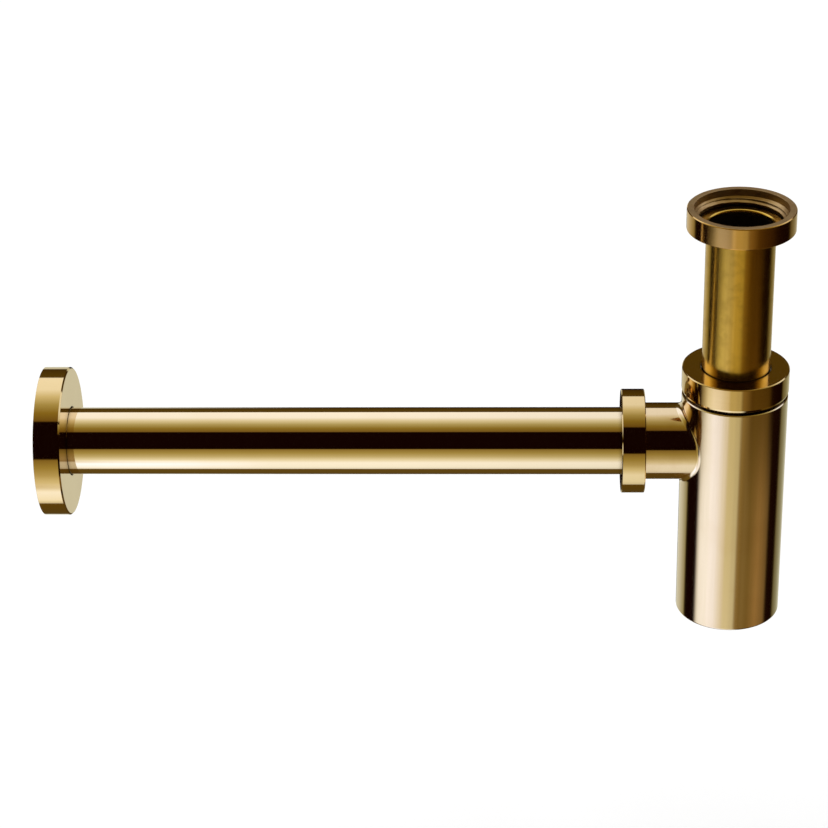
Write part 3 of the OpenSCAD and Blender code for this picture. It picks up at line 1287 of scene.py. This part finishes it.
@dataclass(frozen=True)
class Band:
    """A soft-edged card or softbox, far off, seen in the polished metal.

    Args:
        round: the line that its angles are measured round, from the side of the photograph's camera.
        reach: its two ends along that line, as parts of a unit direction.
        stops: its colour at each angle, in degrees from its first edge to its last.
        edge: softness of its first and last edges, in degrees.
        end_softness: softness of its two ends.
        cover: how much of what is behind it it hides, from 0 to 1.
    """

    round: Round
    reach: Pair
    stops: dict[float, Colour]
    edge: float = 1.5
    end_softness: float = 0.08
    cover: float = 1.0

    def add(self, graph: Graph, direction: Socket, under: Socket | Rgba) -> Socket:
        """Lays the band over what is already in the studio.

        Args:
            graph: the world's graph.
            direction: the direction that is looked in.
            under: the colour of the studio without it.

        Returns:
            The colour with it.
        """
        first, *_, last = self.stops
        front, side, line = (Vector(v) for v in self.round.value)
        middle, half = math.radians((first + last) / 2), math.radians((last - first) / 2)
        soft, (near, far) = math.radians(self.edge), self.reach

        def part(axis: Vector) -> Socket:
            """The direction's part along an axis."""
            inputs = {0: direction, 1: tuple(axis)}
            return graph.node("ShaderNodeVectorMath", inputs, operation="DOT_PRODUCT").outputs["Value"]

        ahead = part(front * math.cos(middle) + side * math.sin(middle))
        aside = part(side * math.cos(middle) - front * math.sin(middle))
        along = part(line)
        angle = graph.maths("ARCTAN2", aside, ahead)
        mask = graph.ranged(angle, (-half - soft, -half + soft), (0, self.cover), smooth=True)
        for value, edge, ends in (
            (angle, (half - soft, half + soft), (1, 0)),
            (along, (near - self.end_softness, near), (0, 1)),
            (along, (far, far + self.end_softness), (1, 0)),
        ):
            mask = graph.maths("MULTIPLY", mask, graph.ranged(value, edge, ends, smooth=True))
        ramp = graph.node("ShaderNodeValToRGB", {"Fac": graph.ranged(angle, (-half, half), (0, 1))})
        elements = ramp.color_ramp.elements
        while len(elements) < len(self.stops):
            elements.new(0.5)
        for element, (place, colour) in zip(elements, self.stops.items()):
            element.position = (place - first) / (last - first)
            element.color = opaque(colour)
        return graph.mixed(mask, under, ramp.outputs["Color"])


BLACK: Colour = (0.006, 0.001, 0.0004)
CARDS = (
    Band(Round.PIPE, (-0.95, 0.95), {140: (0.11, 0.07, 0.008), 184: (0.05, 0.025, 0.005)}),
    Band(Round.PIPE, (-0.95, 0.95), {-145: (0.09, 0.06, 0.02), -84: (0.13, 0.08, 0.01)}),
    Band(
        Round.PIPE, (-0.95, 0.95),
        {58: (0.17, 0.10, 0.02), 72: (0.28, 0.20, 0.035), 86: (0.46, 0.40, 0.18), 101: (0.76, 0.72, 0.55),
         115: (1.02, 1.06, 1.20), 144: (1.06, 1.10, 1.25)},
    ),
    Band(
        Round.PIPE, (-0.95, 0.12),
        {-86: (0.80, 0.82, 0.85), -74: (1.00, 1.06, 1.15), -54: (1.05, 1.10, 1.22), -40: (0.82, 0.79, 0.62),
         -28: (0.56, 0.49, 0.27), -15: (0.40, 0.32, 0.10), -1: (0.25, 0.17, 0.04)},
        end_softness=0.15,
    ),
    Band(
        Round.PIPE, (-0.60, -0.15),
        {-80: (1.08, 1.15, 1.35), -60: (1.18, 1.32, 1.85), -44: (1.05, 1.08, 1.10)},
        edge=4.0, end_softness=0.06,
    ),
    Band(Round.PIPE, (0.07, 0.99), {-179: BLACK, 179: BLACK}, edge=0.5, end_softness=0.14, cover=0.12),
    Band(
        Round.BOTTLE, (-0.66, -0.02),
        {117: (0.12, 0.10, 0.04), 140: (0.30, 0.30, 0.20), 172: (0.72, 0.73, 0.63)}, edge=4.0,
    ),
    Band(
        Round.BOTTLE, (-0.66, -0.02),
        {-172: (0.72, 0.73, 0.63), -140: (0.55, 0.54, 0.44), -117: (0.26, 0.23, 0.10)}, edge=4.0,
    ),
    Band(Round.BOTTLE, (-0.70, -0.30), {-117: BLACK, -22: BLACK}, edge=4.0),
    Band(
        Round.BOTTLE, (-0.70, -0.475),
        {-82: (0.08, 0.05, 0.02), -73: (0.40, 0.36, 0.22), -63: (0.86, 0.86, 0.80), -50: (1.02, 1.05, 1.22),
         -36: (0.95, 0.96, 1.10), -22: (0.77, 0.73, 0.66), -15: (0.68, 0.62, 0.50)},
        edge=3.0, end_softness=0.14,
    ),
    Band(
        Round.BOTTLE, (-0.70, -0.49), {-79: (0.90, 0.92, 0.98), -55: (1.02, 1.06, 1.22)},
        edge=7.0, end_softness=0.03,
    ),
    Band(
        Round.BOTTLE, (-0.405, -0.30), {-117: BLACK, -60: BLACK},
        edge=8.0, end_softness=0.02, cover=0.85,
    ),
    Band(
        Round.BOTTLE, (-0.70, -0.30),
        {12: (0.27, 0.18, 0.055), 34: (0.085, 0.045, 0.007), 48: (0.050, 0.024, 0.004),
         62: (0.034, 0.015, 0.003), 76: (0.012, 0.004, 0.001), 117: BLACK},
        edge=5.0,
    ),
    Band(
        Round.BOTTLE, (-0.70, -0.46), {36: (0.105, 0.060, 0.009), 78: (0.08, 0.045, 0.007)},
        edge=7.0, end_softness=0.03,
    ),
    Band(
        Round.BOTTLE, (-0.70, -0.50),
        {24: (0.22, 0.15, 0.05), 40: (0.18, 0.115, 0.03), 62: (0.30, 0.18, 0.06), 88: (0.16, 0.10, 0.035)},
        edge=5.0, end_softness=0.03,
    ),
)


@dataclass(frozen=True)
class Studio:
    """The pale floor, the soft sun, and what the polished metal sees round it.

    Args:
        drop: distance of the floor below the lowest point, in metres.
        floor_size: width of the floor.
        floor_colour: the floor's own colour.
        floor_lift: light that the floor adds for the camera, so that it shows as white paper.
        paper_shade: the darkest patches of the floor, as a share of its colour.
        fill: the even light from all round on surfaces that aren't mirrors.
        sun: strength of the soft sun.
        sun_spread: how wide the sun is, in degrees.
        sun_tilt: its lean about X and Y, in degrees.
        cards: the cards and softboxes, each laid over those before it.
    """

    drop: float = 0.30
    floor_size: float = 40.0
    floor_colour: Colour = (0.80, 0.80, 0.80)
    floor_lift: float = 0.26
    paper_shade: float = 0.985
    fill: float = 0.55
    sun: float = 1.5
    sun_spread: float = 35.0
    sun_tilt: Pair = (20.0, -12.0)
    cards: tuple[Band, ...] = CARDS

    def build_world(self) -> None:
        """Builds the world: white for the camera, bands for mirrors and an even fill for the rest."""
        world = bpy.data.worlds.new("studio")
        world.use_nodes = True
        bpy.context.scene.world = world
        graph = Graph(world.node_tree)
        direction = graph.node("ShaderNodeTexCoord").outputs["Generated"]
        colour: Socket | Rgba = opaque(BLACK)
        for card in self.cards:
            colour = card.add(graph, direction, colour)
        path = graph.node("ShaderNodeLightPath").outputs
        sheen = graph.maths("MAXIMUM", path["Is Glossy Ray"], path["Is Transmission Ray"])
        fill = opaque((self.fill, self.fill, self.fill))
        plain = graph.mixed(path["Is Camera Ray"], fill, opaque((1, 1, 1)))
        background = graph.node("ShaderNodeBackground", {"Color": graph.mixed(sheen, plain, colour)})
        graph.node("ShaderNodeOutputWorld", {"Surface": background.outputs["Background"]})

    def build_floor(self, low: float) -> bpy.types.Object:
        """Lays the pale floor.

        Args:
            low: height of the object's lowest point.

        Returns:
            The floor.
        """
        half, height = self.floor_size / 2, low - self.drop
        mesh = bpy.data.meshes.new("floor")
        corners = [(x * half, y * half, height) for x, y in ((-1, -1), (1, -1), (1, 1), (-1, 1))]
        mesh.from_pydata(corners, [], [(0, 1, 2, 3)])
        floor = bpy.data.objects.new("floor", mesh)
        bpy.context.scene.collection.objects.link(floor)
        material = bpy.data.materials.new("pale_floor")
        material.use_nodes = True
        graph = Graph(material.node_tree)
        paper = graph.noise(graph.place(), 3.0, 3.0)
        darker = opaque(self.floor_colour, self.paper_shade)
        matt = graph.node("ShaderNodeBsdfDiffuse", {"Color": graph.mixed(paper, darker, opaque(self.floor_colour))})
        camera = graph.node("ShaderNodeLightPath").outputs["Is Camera Ray"]
        lift = graph.maths("MULTIPLY", camera, self.floor_lift)
        glow = graph.node("ShaderNodeEmission", {"Color": opaque((1, 1, 1)), "Strength": lift})
        both = graph.node("ShaderNodeAddShader", {0: matt.outputs[0], 1: glow.outputs[0]})
        graph.node("ShaderNodeOutputMaterial", {"Surface": both.outputs[0]})
        mesh.materials.append(material)
        floor.visible_glossy = False
        floor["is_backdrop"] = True
        return floor

    def build_sun(self) -> None:
        """Hangs the soft sun that draws the shadow on the floor."""
        data = bpy.data.lights.new("soft_sun", "SUN")
        data.energy = self.sun
        data.angle = math.radians(self.sun_spread)
        lamp = bpy.data.objects.new("soft_sun", data)
        lamp.rotation_euler = (*(math.radians(tilt) for tilt in self.sun_tilt), 0)
        lamp.visible_glossy = False
        bpy.context.scene.collection.objects.link(lamp)


@dataclass(frozen=True)
class Camera:
    """The photograph's view.

    Args:
        target: the point at the middle of the picture, in metres.
        distance: distance of the camera from it.
        yaw: turn to the right of +Y, in degrees.
        pitch: tilt below the horizon.
        roll: lean about the view's own axis.
        focal_pixels: focal length in pixels of the photograph.
        picture_width: width of the photograph in pixels.
        sensor: width of the sensor in millimetres.
        clip: the nearest and farthest distance that is seen, in metres.
    """

    target: tuple[float, float, float] = (-0.15141, 0.0, -0.09821)
    distance: float = 1.24039
    yaw: float = -2.982
    pitch: float = 27.748
    roll: float = -1.432
    focal_pixels: float = 2610.0
    picture_width: float = 828.0
    sensor: float = 36.0
    clip: Pair = (0.05, 100.0)

    def build(self) -> bpy.types.Object:
        """Sets up the camera.

        Returns:
            The camera, which is the scene's.
        """
        yaw, pitch, roll = (math.radians(a) for a in (self.yaw, self.pitch, self.roll))
        ahead = Vector((math.sin(yaw) * math.cos(pitch), math.cos(yaw) * math.cos(pitch), -math.sin(pitch)))
        level = Vector((math.cos(yaw), -math.sin(yaw), 0))
        upright = level.cross(ahead)
        right = level * math.cos(roll) + upright * math.sin(roll)
        up = upright * math.cos(roll) - level * math.sin(roll)
        data = bpy.data.cameras.new("photo_view")
        data.sensor_width = self.sensor
        data.lens = self.focal_pixels / self.picture_width * self.sensor
        data.clip_start, data.clip_end = self.clip
        camera = bpy.data.objects.new("photo_view", data)
        turn = Matrix((right, up, -ahead)).transposed().to_4x4()
        camera.matrix_world = Matrix.Translation(Vector(self.target) - ahead * self.distance) @ turn
        bpy.context.scene.collection.objects.link(camera)
        bpy.context.scene.camera = camera
        return camera


def main() -> None:
    """Builds the trap piece by piece, then the studio and the camera."""
    logging.basicConfig(level=logging.INFO, format="%(name)s: %(message)s")
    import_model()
    cad_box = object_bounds()
    bpy.context.scene.view_settings.view_transform = "Standard"

    pipe_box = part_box("outlet_pipe")
    outlet_height = (pipe_box[0].z + pipe_box[1].z) / 2 / MM
    bottle_axle = Axle(Vector((0, 0, 0)), Vector((0, 0, 1)), Vector((1, 0, 0)))
    outlet_axle = Axle(Vector((0, 0, outlet_height)), Vector((-1, 0, 0)), Vector((0, 0, 1)))

    inlet = Inlet()
    inlet.build_nut(bottle_axle, PIPE_THREAD)
    inlet.build_tube(bottle_axle)
    CompressionNut("collar_nut", NECK_THREAD, rim_bevel=(0.35, 1.0)).build(bottle_axle, COLLAR_BRASS)
    neck_seal = ConeSeal("collar_slip_ring", "collar_seal")
    neck_seal.build_ring(bottle_axle)
    neck_seal.build_seal(bottle_axle)
    Bottle().build(bottle_axle, outlet_axle, NECK_THREAD, PIPE_THREAD)
    CompressionNut("outlet_nut", PIPE_THREAD).build(outlet_axle, OUTLET_BRASS)
    pipe_seal = ConeSeal("outlet_slip_ring", "outlet_seal")
    pipe_seal.build_ring(outlet_axle)
    pipe_seal.build_seal(outlet_axle)
    outlet = Outlet()
    outlet.build_pipe(outlet_axle)
    outlet.build_flange(outlet_axle)
    outlet.build_ring(outlet_axle)

    studio = Studio()
    studio.build_world()
    studio.build_floor(cad_box[0].z)
    studio.build_sun()
    Camera().build()


if __name__ == "__main__":
    main()
